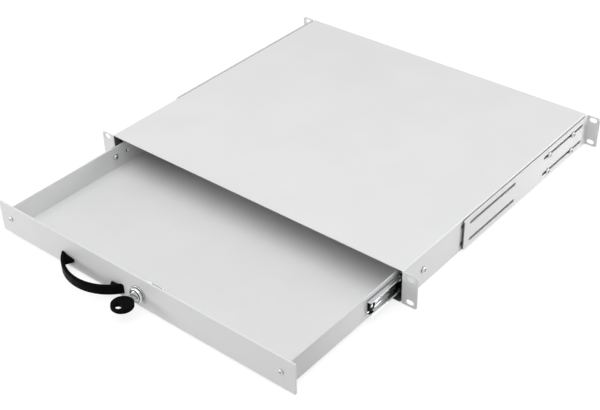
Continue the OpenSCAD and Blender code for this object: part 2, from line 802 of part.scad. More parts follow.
module lock_housing() {
    lip_r = plug_r + running_gap;
    barrel_r = bezel_r - bezel_lip;
    color(chrome_colour) on_lock(0) difference() {
        union() {
            rotate_extrude()
                polygon([[lip_r, 0], [bezel_r, 0], [bezel_r, -bezel_flange_t], [barrel_r, -bezel_flange_t],
                    [barrel_r, bezel_chamfer - bezel_out], [barrel_r - bezel_chamfer, -bezel_out],
                    [lip_r, -bezel_out]]);
            translate([0, 0, -bezel_flange_t]) linear_extrude(lock_body_l + bezel_flange_t) intersection() {
                circle(r = lock_body_r);
                square([2 * lock_body_r, lock_flats], center = true);
            }
        }
        translate([0, 0, -bezel_out]) cylinder(r = lip_r, h = bezel_out + lock_body_l + overrun);
    }
}

module lock_nut() {
    color(zinc_colour) on_lock(panel_t + sheet_t) hex_nut(lock_nut_af, lock_nut_h, lock_body_r + thread_gap);
}

module lock_plug() {
    front = -bezel_out - plug_out;
    back = lock_body_l + cam_gap;
    keyway_w = key_blade_w + 2 * keyway_gap;
    keyway_h = key_t + 2 * keyway_gap;
    color(chrome_colour) on_lock(0) difference() {
        union() {
            rotate_extrude()
                polygon([[0, front], [plug_r - plug_chamfer, front], [plug_r, front + plug_chamfer],
                    [plug_r, back], [0, back]]);
            translate([-cam_square / 2, -cam_square / 2, back - cam_t])
                cube([cam_square, cam_square, 2 * cam_t]);
        }
        translate([-keyway_w / 2, -keyway_h / 2, front - overrun])
            cube([keyway_w, keyway_h, key_blade_l + 2 * keyway_gap + overrun]);
        translate([0, 0, back + cam_t - cam_screw_l])
            cylinder(r = m4_r + thread_gap, h = cam_screw_l + overrun);
    }
}

// The cam points to the right, which is the unlocked place
module lock_cam() {
    end_r = cam_w / 2;
    color(zinc_colour) on_lock(lock_body_l + cam_gap) linear_extrude(cam_t) difference() {
        union() {
            circle(r = end_r);
            translate([0, -end_r]) square([cam_l - cam_tip_r, cam_w]);
            translate([0, cam_tip_r - end_r]) square([cam_l, cam_w - 2 * cam_tip_r]);
            for (s = [-1, 1])
                translate([cam_l - cam_tip_r, s * (end_r - cam_tip_r)]) circle(r = cam_tip_r);
        }
        square(cam_square + 2 * thread_gap, center = true);
    }
}

module cam_screw() {
    color(zinc_colour) on_lock(lock_body_l + cam_gap + cam_t)
        pan_screw(m4_r, cam_screw_l - thread_gap, m4_head_r + thread_gap, cam_screw_head_h);
}

// The key lies flat; its outline is drawn with x across the blade and y towards the lock
module on_key(y) {
    translate([lock_x, panel_y + y, lock_z]) children();
}

module key_blade() {
    half = key_blade_w / 2;
    face = -bezel_out - plug_out;
    shoulder = face - part_gap;
    tip = face + key_blade_l;
    straight = tip - key_tip_l;
    cuts = len(key_cut_share);
    color(zinc_colour) on_key(0) translate([0, 0, -key_t / 2]) linear_extrude(key_t) difference() {
        union() {
            polygon([[-half, shoulder], [half, shoulder], [half, straight], [0, tip], [-half, straight]]);
            translate([-key_shoulder_w / 2, shoulder - key_neck_l]) square([key_shoulder_w, key_neck_l]);
            translate([-half, shoulder - key_neck_l - key_tang_l])
                square([key_blade_w, key_tang_l + overrun]);
        }
        // The cuts along one edge of the blade
        for (i = [0:cuts - 1])
            let (y = face + (straight - face) * (i + 0.75) / cuts, depth = key_cut_share[i] * key_blade_w)
                polygon([[half + depth, y - key_cut_w - 2 * depth], [half - depth, y - key_cut_w / 2],
                    [half - depth, y + key_cut_w / 2], [half + depth, y + key_cut_w + 2 * depth]]);
    }
}

module key_head() {
    rim = key_head_w / 2;
    head_front = -bezel_out - plug_out - part_gap - key_neck_l;
    color(black_colour) on_key(head_front - rim) difference() {
        intersection() {
            rotate_extrude() intersection() {
                rounded_rect(2 * key_corner_share * rim, key_head_t, key_rim_r);
                translate([0, -key_head_t / 2]) square([key_corner_share * rim, key_head_t]);
            }
            rotate([0, 0, 180 / key_sides])
                cylinder(r = rim / cos(180 / key_sides), h = 2 * key_head_t, center = true, $fn = key_sides);
        }
        translate([-key_blade_w / 2, rim - key_tang_l, -key_t / 2])
            cube([key_blade_w, key_tang_l + overrun, key_t]);
        translate([0, key_slot_back - rim, -key_head_t])
            linear_extrude(2 * key_head_t) slot_shape(key_slot_l, key_slot_w);
    }
}

// Handle

// The place on the panel's face at the middle of the handle
module on_handle() {
    translate([handle_x, 0, handle_z]) children();
}

module bow() {
    intersection() {
        translate([0, bow_centre_y, 0]) rotate_extrude()
            translate([bow_outer_r - bow_t / 2, 0]) rounded_rect(bow_t, bow_h, bow_edge_r);
        translate([-handle_l / 2, panel_y - handle_out - overrun, -bow_h / 2 - overrun])
            cube([handle_l, handle_out + overrun, bow_h + 2 * overrun]);
    }
}

// The right foot: it fills the corner between the bow and the panel, and gets lower inwards
module foot() {
    inner = handle_l / 2 - foot_w;
    outer = handle_l / 2;
    intersection() {
        translate([0, 0, -foot_h / 2]) linear_extrude(foot_h) intersection() {
            polygon([[inner, panel_y], [outer, panel_y], [outer, panel_y - handle_out],
                [inner + foot_slope, panel_y - handle_out], [inner + foot_slope, panel_y - foot_rise]]);
            translate([0, bow_centre_y]) circle(r = bow_outer_r - bow_t / 2);
        }
        along_y(panel_y - handle_out, handle_out + overrun)
            polygon([[inner, -foot_tip_h / 2], [outer, -foot_h / 2],
                [outer, foot_h / 2], [inner, foot_tip_h / 2]]);
    }
}

module handle() {
    color(black_colour) on_handle() difference() {
        union() {
            bow();
            for (s = [0, 1]) mirror([s, 0, 0]) foot();
        }
        for (s = [-1, 1])
            translate([s * (handle_l / 2 - handle_screw_in), panel_y + overrun, 0]) rotate([90, 0, 0])
                cylinder(r = m4_r + thread_gap, h = handle_screw_l - panel_t - sheet_t + overrun + hole_gap);
    }
}

module handle_screws() {
    color(zinc_colour) for (s = [-1, 1])
        translate([handle_x + s * (handle_l / 2 - handle_screw_in), tray_front_in, handle_z])
            rotate([-90, 0, 0]) pan_screw(m4_r, handle_screw_l, m4_head_r, m4_head_h);
}

// Rear brackets, on the right side

module bracket_slots() {
    slots = [bracket_front + bracket_slot_in, bracket_back - bracket_slot_back - bracket_slot_l];
    for (y = slots, z = [-1, 1])
        along_x(bracket_in - overrun, bracket_t + 2 * overrun)
            translate([y + bracket_slot_l / 2, bracket_mid + z * bracket_row / 2])
                slot_shape(bracket_slot_l, bracket_slot_w);
}

module rear_bracket() {
    ear_w = rack_w / 2 - bracket_in;
    color(paint_colour) difference() {
        union() {
            along_x(bracket_in, bracket_t) {
                translate([bracket_front + bracket_l / 2, bracket_mid])
                    rounded_rect(bracket_l, bracket_h, bracket_r);
                translate([bracket_back - bracket_l / 2, bracket_mid - bracket_h / 2])
                    square([bracket_l / 2, bracket_h]);
            }
            along_y(bracket_ear_y, bracket_t) {
                translate([bracket_in + ear_w / 2, 0]) rounded_rect(ear_w, bracket_ear_h, ear_r);
                translate([bracket_in, -bracket_ear_h / 2]) square([ear_w / 2, bracket_ear_h]);
            }
            translate([bracket_out, bracket_ear_y, -bracket_ear_h / 2]) mirror([0, 1, 0])
                linear_extrude(bracket_ear_h / 2 + bracket_mid + bracket_h / 2)
                    corner_fill(bracket_bend_r - bracket_t);
        }
        bracket_slots();
        // The outer side of the bend
        translate([bracket_in, bracket_back, -housing_h]) mirror([0, 1, 0])
            linear_extrude(2 * housing_h) corner_loss(bracket_bend_r);
        for (z = [-1, 1])
            along_y(bracket_ear_y - overrun, bracket_t + 2 * overrun)
                translate([rack_hole_x / 2, z * rack_hole_z / 2]) slot_shape(rack_slot_l, rack_slot_w);
    }
}

module at_bolts() {
    for (y = [bolt_back, bolt_back - bolt_pitch], z = [-1, 1])
        translate([0, y, bracket_mid + z * bracket_row / 2]) children();
}

module bracket_bolts() {
    color(zinc_colour) at_bolts() translate([bolt_head_x, 0, 0]) rotate([0, 90, 0])
        pan_screw(m4_r, bolt_head_x - wall_in + m4_thin_nut_h - bolt_end_gap, m4_head_r, m4_head_h);
}

// The rings on the bolts that hold the bracket off the wall
module bracket_spacers() {
    color(zinc_colour) at_bolts() translate([wall_out, 0, 0]) rotate([0, 90, 0]) difference() {
        cylinder(r = spacer_r, h = spacer_t);
        translate([0, 0, -overrun]) cylinder(r = m4_r + hole_gap, h = spacer_t + 2 * overrun);
    }
}

module bracket_nuts() {
    color(zinc_colour) at_bolts() translate([wall_in, 0, 0]) rotate([0, -90, 0]) rotate([0, 0, 30])
        hex_nut(m4_nut_af, m4_thin_nut_h, m4_r + thread_gap);
}

module on_left() {
    mirror([1, 0, 0]) children();
}

housing_shell();
base_pan();
rear_screws();
lock_strike();
on_left() cabinet_rail();  // left_cabinet_rail
cabinet_rail();  // right_cabinet_rail
on_left() cabinet_rail_screws();  // left_cabinet_rail_screws
cabinet_rail_screws();  // right_cabinet_rail_screws
on_left() rear_bracket();  // left_rear_bracket
rear_bracket();  // right_rear_bracket
on_left() bracket_bolts();  // left_bracket_bolts
bracket_bolts();  // right_bracket_bolts
on_left() bracket_nuts();  // left_bracket_nuts
bracket_nuts();  // right_bracket_nuts
on_left() bracket_spacers();  // left_bracket_spacers
bracket_spacers();  // right_bracket_spacers
on_left() ball_cage();  // left_ball_cage
ball_cage();  // right_ball_cage
on_left() balls();  // left_balls
balls();  // right_balls
tray();
front_panel();
panel_screws();
panel_nuts();
on_left() drawer_rail();  // left_drawer_rail
drawer_rail();  // right_drawer_rail
on_left() drawer_rail_screws();  // left_drawer_rail_screws
drawer_rail_screws();  // right_drawer_rail_screws
on_left() rail_bumper();  // left_rail_bumper
rail_bumper();  // right_rail_bumper
on_left() bumper_rivet();  // left_bumper_rivet
bumper_rivet();  // right_bumper_rivet
handle();
handle_screws();
lock_housing();
lock_nut();
lock_plug();
lock_cam();
cam_screw();
key_blade();
key_head();
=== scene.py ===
import math

import bpy
from mathutils import Matrix, Vector


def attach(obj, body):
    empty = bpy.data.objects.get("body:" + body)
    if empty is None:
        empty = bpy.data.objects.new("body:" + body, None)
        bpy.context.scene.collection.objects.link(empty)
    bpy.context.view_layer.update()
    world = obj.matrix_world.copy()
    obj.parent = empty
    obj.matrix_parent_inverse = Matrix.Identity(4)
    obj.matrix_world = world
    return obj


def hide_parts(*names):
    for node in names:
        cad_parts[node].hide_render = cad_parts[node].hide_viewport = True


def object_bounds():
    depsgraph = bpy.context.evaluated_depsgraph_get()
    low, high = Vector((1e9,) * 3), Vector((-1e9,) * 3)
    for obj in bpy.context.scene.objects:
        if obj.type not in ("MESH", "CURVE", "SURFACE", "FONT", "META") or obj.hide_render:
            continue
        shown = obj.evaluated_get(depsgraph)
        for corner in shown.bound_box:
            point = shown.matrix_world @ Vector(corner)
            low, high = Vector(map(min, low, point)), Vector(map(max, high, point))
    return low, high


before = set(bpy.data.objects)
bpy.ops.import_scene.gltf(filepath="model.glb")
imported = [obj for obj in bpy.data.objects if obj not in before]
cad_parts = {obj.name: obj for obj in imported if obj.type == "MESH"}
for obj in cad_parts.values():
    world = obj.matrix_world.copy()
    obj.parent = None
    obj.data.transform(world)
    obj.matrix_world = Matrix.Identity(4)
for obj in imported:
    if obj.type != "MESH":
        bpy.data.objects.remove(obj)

MM = 0.001
X, Y, Z = 0, 1, 2
SCENE = bpy.context.scene


def corners(box):
    return [list(box[0]), list(box[1])]


cad_box = corners(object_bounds())


# Camera, at the photograph's viewing angle

LENS = 68.5
SENSOR = 36.0
CAMERA_AT = Vector((0.7444, -0.7838, 0.7766))
CAMERA_RIGHT = Vector((0.7729, 0.6342, -0.0206))
CAMERA_UP = Vector((-0.3551, 0.4593, 0.8142))


def make_camera():
    data = bpy.data.cameras.new("camera")
    data.sensor_width = SENSOR
    data.lens = LENS
    camera = bpy.data.objects.new("camera", data)
    SCENE.collection.objects.link(camera)
    right = CAMERA_RIGHT.normalized()
    back = right.cross(CAMERA_UP).normalized()
    turn = Matrix((right, back.cross(right), back)).transposed()
    camera.matrix_world = Matrix.Translation(CAMERA_AT) @ turn.to_4x4()
    SCENE.camera = camera


# Places on the product, read from the CAD nodes in their own coordinates

def span(node, axis):
    """The low and the high side of a CAD node along one axis."""
    places = [vertex.co[axis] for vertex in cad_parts[node].data.vertices]
    return min(places), max(places)


def middle(node, axis):
    return sum(span(node, axis)) / 2


SHEET = 1.2 * MM
SKIN = 0.1 * MM
SHELL_OUT_X = span("right_bracket_spacers", X)[0]
SHELL_OUT_Z = span("housing_shell", Z)[1]
REAR_WALL_Y = span("base_pan", Y)[1] - SHEET / 2
MOUTH_DEPTH = 12 * MM
TRAY_OUT_X = span("tray", X)[1]
TRAY_BEND = 0.8 * MM
TRAY_SHADE_BACK_Y = -60 * MM
PANEL_FACE = span("front_panel", Y)[0]

# The brackets' slots: two rows, at one distance above and below their middle

BRACKET_FRONT_Y = span("right_rear_bracket", Y)[0]
SLOT_MID_Z = 0.3 * MM
SLOT_ROW = 11.85 * MM
SLOT_HALF_H = 2.2 * MM
SLOT_FADE = 0.8 * MM
FRONT_GAP_Y = BRACKET_FRONT_Y + 11.4 * MM
FRONT_GAP_FADE = 6 * MM


# Node helpers

NEARBY_SAMPLES = 8


def grey(level):
    return (level, level, level)


class Tree:
    """A node tree, with short calls for the nodes that the finishes and the world share."""

    def __init__(self, owner):
        owner.use_nodes = True
        self.tree = owner.node_tree
        self.tree.nodes.clear()

    def link(self, source, target):
        self.tree.links.new(source, target)

    def add(self, kind, values=None, **attributes):
        """A new node. Each value is a plain one or another node's output."""
        node = self.tree.nodes.new(kind)
        for key, value in attributes.items():
            setattr(node, key, value)
        for key, value in (values or {}).items():
            if isinstance(value, bpy.types.NodeSocket):
                self.link(value, node.inputs[key])
            else:
                node.inputs[key].default_value = value
        return node

    def ranged(self, value, low, high, to_low=0.0, to_high=1.0):
        """The value's range low to high, mapped smoothly to to_low to to_high."""
        values = {"Value": value, "From Min": low, "From Max": high, "To Min": to_low, "To Max": to_high}
        return self.add("ShaderNodeMapRange", values, interpolation_type="SMOOTHSTEP").outputs["Result"]

    def maths(self, operation, a, b=0.0):
        return self.add("ShaderNodeMath", {0: a, 1: b}, operation=operation).outputs[0]

    def product(self, first, *others):
        for other in others:
            first = self.maths("MULTIPLY", first, other)
        return first

    def mixed(self, factor, a, b):
        """Colour a turning to colour b by the factor."""
        a, b = (value if isinstance(value, bpy.types.NodeSocket) else (*value, 1.0) for value in (a, b))
        return self.add("ShaderNodeMix", {0: factor, 6: a, 7: b}, data_type="RGBA").outputs[2]


class Shader(Tree):
    """One material with a Principled shader, placed by the object's own coordinates in metres."""

    def __init__(self, name, **values):
        self.material = bpy.data.materials.new(name)
        super().__init__(self.material)
        self.bsdf = self.add("ShaderNodeBsdfPrincipled", values)
        output = self.add("ShaderNodeOutputMaterial")
        self.link(self.bsdf.outputs["BSDF"], output.inputs["Surface"])
        self.place = self.add("ShaderNodeTexCoord").outputs["Object"]

    def set(self, key, socket):
        self.link(socket, self.bsdf.inputs[key])

    def along(self, axis):
        return self.add("ShaderNodeSeparateXYZ", {"Vector": self.place}).outputs[axis]

    def distance(self, value, place=0.0):
        return self.maths("ABSOLUTE", self.maths("SUBTRACT", value, place))

    def noise(self, size_mm, detail=2.0, roughness=0.5, stretch=(1, 1, 1), seed=0.0):
        """Noise whose features are about size_mm across, drawn out along the axes by stretch."""
        scale = [1 / (size_mm * MM * drawn) for drawn in stretch]
        values = {"Vector": self.place, "Scale": scale, "Location": (seed, seed, seed)}
        place = self.add("ShaderNodeMapping", values).outputs[0]
        values = {"Vector": place, "Scale": 1.0, "Detail": detail, "Roughness": roughness}
        return self.add("ShaderNodeTexNoise", values).outputs["Fac"]

    def rounded(self, radius_mm):
        """The normal with edges rounded over, and a mask that is 1 on edges and corners."""
        bevel = self.add("ShaderNodeBevel", {"Radius": radius_mm * MM}, samples=NEARBY_SAMPLES).outputs[0]
        flat = self.add("ShaderNodeNewGeometry").outputs["True Normal"]
        dot = self.add("ShaderNodeVectorMath", {0: bevel, 1: flat}, operation="DOT_PRODUCT")
        return bevel, self.ranged(dot.outputs["Value"], 0.99, 0.86)

    def recess(self, reach_mm, closed, open_):
        """1 deep inside gaps, falling to 0 where the surface sees out."""
        node = self.add("ShaderNodeAmbientOcclusion", {"Distance": reach_mm * MM}, samples=NEARBY_SAMPLES)
        return self.ranged(node.outputs["AO"], closed, open_, 1.0, 0.0)

    def gap_shaded(self, colour, strength, painted_shade, reach_mm, closed, open_):
        """The colour, darkened in the gaps as painted shade."""
        return self.mixed(self.product(self.recess(reach_mm, closed, open_), strength), colour, painted_shade)

    def bump(self, height, depth_mm, normal):
        node = self.add("ShaderNodeBump", {"Height": height, "Distance": depth_mm * MM, "Normal": normal})
        self.set("Normal", node.outputs["Normal"])

    def inside_shell(self):
        """1 on the inner faces of the housing's sheets, and a little less at its mouth."""
        y = self.along(Y)
        across = self.maths("LESS_THAN", self.distance(self.along(X)), SHELL_OUT_X - SHEET / 2)
        upright = self.maths("LESS_THAN", self.distance(self.along(Z)), SHELL_OUT_Z - SHEET / 2)
        before_wall = self.maths("LESS_THAN", y, REAR_WALL_Y)
        return self.product(across, upright, before_wall, self.ranged(y, 0.0, MOUTH_DEPTH, 0.85, 1.0))

    def beside_drawer(self):
        """1 in the slides' chambers between the drawer and the housing's walls, where shade is painted."""
        return self.ranged(self.distance(self.along(X)), TRAY_OUT_X - MM, TRAY_OUT_X + MM)

    def behind_brackets(self):
        """1 on the wall behind a bracket's slots and beside its front end, where shade is painted in the
        gaps.
        """
        from_row = self.distance(self.distance(self.along(Z), SLOT_MID_Z), SLOT_ROW)
        row = self.ranged(from_row, SLOT_HALF_H, SLOT_HALF_H + SLOT_FADE, 1.0, 0.0)
        front = self.ranged(self.along(Y), FRONT_GAP_Y, FRONT_GAP_Y + FRONT_GAP_FADE, 1.0, 0.0)
        slot = self.product(row, self.recess(reach_mm=6, closed=0.66, open_=0.94))
        gap = self.product(front, 0.85, self.recess(reach_mm=5, closed=0.1, open_=0.5))
        outer = self.maths("GREATER_THAN", self.distance(self.along(X)), SHELL_OUT_X - SHEET / 2)
        return self.product(self.maths("MAXIMUM", slot, gap), outer)

    def side_shade(self):
        """1 on the front part of the drawer's outer side faces, fading out towards the back: where shade is
        painted.
        """
        side = self.ranged(self.distance(self.along(X)), TRAY_OUT_X - TRAY_BEND, TRAY_OUT_X - SKIN)
        return self.product(side, self.ranged(self.along(Y), PANEL_FACE, TRAY_SHADE_BACK_Y, 1.0, 0.0))

    def bracket_end(self):
        """1 on the front end face of a rear bracket, where shade is painted."""
        return self.maths("LESS_THAN", self.along(Y), BRACKET_FRONT_Y + SKIN)


# Finishes

METAL = {"Metallic": 1.0, "IOR": 1.5}


def painted_steel(name="painted_steel", inside=False, shaded_end=False, shaded_sides=False):
    """Light grey powder coat: fine orange peel, a satin sheen and thinly covered edges, lightened also as a
    painted highlight.

    Inside the housing the colour is darkened as painted shade, near black in the slides' chambers and in the
    gaps behind the brackets.
    A bracket's front end face and the front of the drawer's outer sides are darker too, as painted shade."""
    dark_paint, light_paint = (0.718, 0.727, 0.720), (0.738, 0.745, 0.739)
    speck_colour, edge_colour = (0.60, 0.61, 0.60), (0.86, 0.87, 0.86)
    s = Shader(name, **{"IOR": 1.5})
    normal, edge = s.rounded(radius_mm=0.5)
    cloud = s.ranged(s.noise(size_mm=70, detail=2), 0.3, 0.7)
    speck = s.ranged(s.noise(size_mm=0.35, detail=1, seed=3), 0.35, 0.65)
    grained = s.mixed(s.product(speck, 0.12), s.mixed(cloud, dark_paint, light_paint), speck_colour)
    # Lighter edges: partly a thinly covered coat, partly a painted highlight along them.
    thin_coat_and_highlight = s.product(edge, s.ranged(s.noise(size_mm=9, detail=3, seed=8), 0.35, 0.65, 0.3, 0.9))
    coat = s.mixed(thin_coat_and_highlight, grained, edge_colour)
    peel = s.noise(size_mm=0.9, detail=2, roughness=0.6, seed=1)
    dullness = s.ranged(peel, 0.3, 0.7, 0.38, 0.48)
    if inside:
        # Painted shade: the housing's inner faces darker, near black in the slides' chambers and in the gaps
        # behind the brackets.
        dark_inside_shade, light_inside_shade, painted_shade_colour = (0.28, 0.28, 0.275), (0.34, 0.34, 0.335), (0.045, 0.045, 0.043)
        inside_shade = s.inside_shell()
        coat = s.mixed(inside_shade, coat, s.mixed(cloud, dark_inside_shade, light_inside_shade))
        chamber_shade = s.product(inside_shade, s.beside_drawer())
        painted_shade = s.maths("MAXIMUM", chamber_shade, s.product(s.behind_brackets(), 0.96))
        coat = s.mixed(painted_shade, coat, painted_shade_colour)
        dullness = s.maths("ADD", dullness, s.product(inside_shade, 0.15))
    if shaded_sides:
        # Painted shade on the front of the drawer's outer sides.
        side_shade_colour = (0.35, 0.35, 0.345)
        coat = s.mixed(s.product(s.side_shade(), 0.45), coat, side_shade_colour)
    if shaded_end:
        # Painted shade on the bracket's front end face.
        dark_end_shade, light_end_shade = (0.13, 0.13, 0.13), (0.20, 0.20, 0.19)
        coat = s.mixed(s.bracket_end(), coat, s.mixed(speck, dark_end_shade, light_end_shade))
    s.set("Base Color", coat)
    s.set("Roughness", dullness)
    s.bump(peel, depth_mm=0.012, normal=normal)
    return s.material


def rail_steel():
    """Bright zinc plate on roll-formed strip: long draw lines, a slight bloom and painted shade in the
    races.
    """
    light_plate, dark_plate = (0.86, 0.87, 0.88), (0.56, 0.57, 0.58)
    bloom_colour, edge_colour = (0.50, 0.51, 0.53), (0.85, 0.86, 0.86)
    s = Shader("rail_steel", **METAL)
    normal, edge = s.rounded(radius_mm=0.3)
    lines = s.noise(size_mm=0.35, detail=4, roughness=0.6, stretch=(1, 220, 1), seed=2)
    bloom = s.ranged(s.noise(size_mm=14, detail=3, seed=5), 0.35, 0.7)
    toned = s.mixed(s.product(bloom, 0.2), s.mixed(lines, light_plate, dark_plate), bloom_colour)
    rubbed = s.mixed(s.product(edge, 0.7), toned, edge_colour)
    # Painted shade: the plate darkens to near black deep in the races.
    gap_shaded = s.gap_shaded(rubbed, strength=0.92, painted_shade=grey(0.02), reach_mm=8, closed=0.18, open_=0.62)
    s.set("Base Color", gap_shaded)
    s.set("Roughness", s.maths("ADD", s.ranged(lines, 0.3, 0.7, 0.10, 0.18), s.product(bloom, 0.06)))
    s.bump(lines, depth_mm=0.006, normal=normal)
    return s.material


def zinc(name="zinc", dull=0.0):
    """Zinc plate: a fine crystal mottle, brighter on the rims, with painted shade in the recesses.

    Dull from 0 to 1 takes the shine off, for parts that nothing polishes."""
    dark_plate, light_plate = (0.50, 0.51, 0.53), (0.68, 0.69, 0.70)
    tint_colour, rim_colour = (0.60, 0.60, 0.56), (0.84, 0.85, 0.86)
    s = Shader(name, **METAL)
    normal, edge = s.rounded(radius_mm=0.45)
    mottle = s.noise(size_mm=0.6, detail=3, roughness=0.65, seed=4)
    tint = s.noise(size_mm=2.5, detail=2, seed=9)
    tinted = s.mixed(s.product(tint, 0.3), s.mixed(mottle, dark_plate, light_plate), tint_colour)
    rubbed = s.mixed(s.product(edge, 1 - 0.6 * dull), tinted, rim_colour)
    # Painted shade around the heads' bases and in the cross recesses.
    gap_shaded = s.gap_shaded(rubbed, strength=0.92, painted_shade=grey(0.025), reach_mm=2.5, closed=0.4, open_=0.9)
    s.set("Base Color", gap_shaded)
    s.set("Roughness", s.ranged(mottle, 0.3, 0.7, 0.16 + 0.25 * dull, 0.28 + 0.25 * dull))
    s.bump(mottle, depth_mm=0.008, normal=normal)
    return s.material


def ball_steel():
    """Polished bearing steel with a faint greasy film."""
    light_ball, dark_ball = (0.78, 0.79, 0.81), (0.70, 0.70, 0.69)
    s = Shader("ball_steel", **METAL)
    normal, _ = s.rounded(radius_mm=0.1)
    film = s.noise(size_mm=1.2, detail=2, seed=6)
    s.set("Base Color", s.mixed(film, light_ball, dark_ball))
    s.set("Roughness", s.ranged(film, 0.35, 0.65, 0.05, 0.14))
    s.bump(film, depth_mm=0.002, normal=normal)
    return s.material


def lock_chrome():
    """Chrome plate: mirror bright, with faint turning marks and finger smears, and painted shade in its
    gaps.

    Behind the panel it is plain die-cast metal, grey and dull."""
    clean, smeared, die_cast = (0.64, 0.65, 0.65), (0.42, 0.43, 0.43), grey(0.70)
    s = Shader("lock_chrome", **METAL)
    normal, _ = s.rounded(radius_mm=0.25)
    smear = s.ranged(s.noise(size_mm=5, detail=3, roughness=0.6, seed=7), 0.45, 0.75)
    fine = s.noise(size_mm=0.25, detail=2, stretch=(6, 1, 1), seed=11)
    behind = s.ranged(s.along(Y), PANEL_FACE, PANEL_FACE + SHEET)
    plated = s.mixed(behind, s.mixed(smear, clean, smeared), die_cast)
    # Painted shade in the bezel's groove and undercut.
    gap_shaded = s.gap_shaded(plated, strength=0.94, painted_shade=grey(0.015), reach_mm=3, closed=0.35, open_=0.85)
    s.set("Base Color", gap_shaded)
    dullness = s.maths("ADD", s.ranged(fine, 0.3, 0.7, 0.05, 0.09), s.product(smear, 0.08))
    s.set("Roughness", s.maths("ADD", dullness, s.product(behind, 0.3)))
    s.bump(fine, depth_mm=0.003, normal=normal)
    return s.material


def nickel():
    """Satin nickel on the key's blade, brushed along the blade."""
    light_plate, dark_plate, edge_colour = (0.64, 0.63, 0.61), (0.48, 0.47, 0.45), (0.82, 0.81, 0.80)
    s = Shader("nickel", **METAL)
    normal, edge = s.rounded(radius_mm=0.25)
    brush = s.noise(size_mm=0.12, detail=3, roughness=0.6, stretch=(1, 40, 1), seed=12)
    rubbed = s.mixed(edge, s.mixed(brush, light_plate, dark_plate), edge_colour)
    # Painted shade in the key's recesses.
    gap_shaded = s.gap_shaded(rubbed, strength=0.9, painted_shade=grey(0.02), reach_mm=3, closed=0.25, open_=0.7)
    s.set("Base Color", gap_shaded)
    s.set("Roughness", s.ranged(brush, 0.3, 0.7, 0.18, 0.30))
    s.bump(brush, depth_mm=0.006, normal=normal)
    return s.material


def black_plastic():
    """Black moulded plastic: spark-eroded grain, a little polished where hands rub it."""
    black, rubbed_black = (0.0018, 0.0020, 0.0024), (0.0032, 0.0035, 0.0040)
    edge_colour = (0.007, 0.008, 0.009)
    s = Shader("black_plastic", **{"IOR": 1.49, "Specular IOR Level": 0.02})
    normal, edge = s.rounded(radius_mm=0.3)
    grain = s.noise(size_mm=0.28, detail=2, roughness=0.55, seed=13)
    rub = s.ranged(s.noise(size_mm=12, detail=3, seed=14), 0.4, 0.7)
    s.set("Base Color", s.mixed(s.product(edge, 0.4), s.mixed(rub, black, rubbed_black), edge_colour))
    s.set("Roughness", s.ranged(rub, 0.0, 1.0, 0.42, 0.30))
    s.bump(grain, depth_mm=0.018, normal=normal)
    return s.material


FINISHES = {make.__name__: make() for make in (
    painted_steel, rail_steel, zinc, ball_steel, lock_chrome, nickel, black_plastic)}


SPECIAL = {
    painted_steel("housing_steel", inside=True): ("housing_shell", "base_pan"),
    painted_steel("tray_steel", shaded_sides=True): ("tray",),
    painted_steel("bracket_steel", shaded_end=True): ("left_rear_bracket", "right_rear_bracket"),
    zinc("pressed_zinc", dull=1.0): ("lock_cam", "cam_screw", "lock_nut", "lock_strike", "panel_screws",
                                     "left_cabinet_rail_screws", "right_cabinet_rail_screws"),
}


def dress_nodes():
    special = {node: material for material, nodes in SPECIAL.items() for node in nodes}
    for name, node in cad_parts.items():
        for slot in node.material_slots:
            slot.material = special.get(name) or FINISHES[slot.material.name.split(".")[0]]


# Pieces that replace a CAD node

def add_piece(name, mesh, body, finish, *nodes):
    for polygon in mesh.polygons:
        polygon.use_smooth = True
    mesh.materials.clear()
    mesh.materials.append(FINISHES[finish])
    piece = bpy.data.objects.new(name, mesh)
    SCENE.collection.objects.link(piece)
    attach(piece, body)
    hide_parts(*nodes)
    return piece


SMOOTH_FACTOR = 0.5


def softened(name, node, body, finish, voxel_mm, passes):
    """The node's own form with its edges rounded over, as a moulding has them."""
    rough = bpy.data.objects.new(name + "_rough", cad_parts[node].data.copy())
    SCENE.collection.objects.link(rough)
    remesh = rough.modifiers.new("remesh", "REMESH")
    remesh.mode = "VOXEL"
    remesh.voxel_size = voxel_mm * MM
    smooth = rough.modifiers.new("smooth", "SMOOTH")
    smooth.factor = SMOOTH_FACTOR
    smooth.iterations = passes
    graph = bpy.context.evaluated_depsgraph_get()
    mesh = bpy.data.meshes.new_from_object(rough.evaluated_get(graph))
    bpy.data.objects.remove(rough)
    return add_piece(name, mesh, body, finish, node)


# Lock housing, in millimetres: distances from its axis, and depths behind the panel's face

LOCK_CENTRE = Vector((middle("lock_housing", X), PANEL_FACE, middle("lock_housing", Z)))
LOCK_FRONT = (span("lock_housing", Y)[0] - PANEL_FACE) / MM
LOCK_BACK = (span("lock_housing", Y)[1] - PANEL_FACE) / MM
LOCK_AROUND = 96
LOCK_SPLIT_ANGLE = 35
LOCK_FLAT = 8.1
FLANGE_R = (span("lock_housing", X)[1] - LOCK_CENTRE.x) / MM
FLANGE_T = 1.5
FLANGE_EDGE_R = 0.45
FLANGE_CHAMFER = 0.1
PLUG_GAP = 0.1
BORE_R = (span("lock_plug", X)[1] - LOCK_CENTRE.x) / MM + PLUG_GAP
BORE_LIP_R = 0.25
BARREL_R = 9.4
BARREL_EDGE_R = 0.6
BARREL_EDGE_BACK = 1.7
RIM_R = 8.3
RIM_EDGE_R = 0.7
BEZEL_EDGE_TURN = 320
GROOVE_R = (6.45, 6.6, 7.9, 8.15)
GROOVE_DEPTH = (0.0, 0.9, 1.1, 0.0)
UNDERCUT_DEPTH = 0.6
UNDERCUT_L = 0.5
UNDERCUT_SLOPE = 0.2
BODY_R = 9.0
BODY_CHAMFER = 0.4
FLAT_FROM = 0.05
THREAD_FROM = 2.4
THREAD_TO = 15.9
THREAD_PITCH = 1.0
THREAD_DEPTH = 0.5
THREAD_STEPS = 8


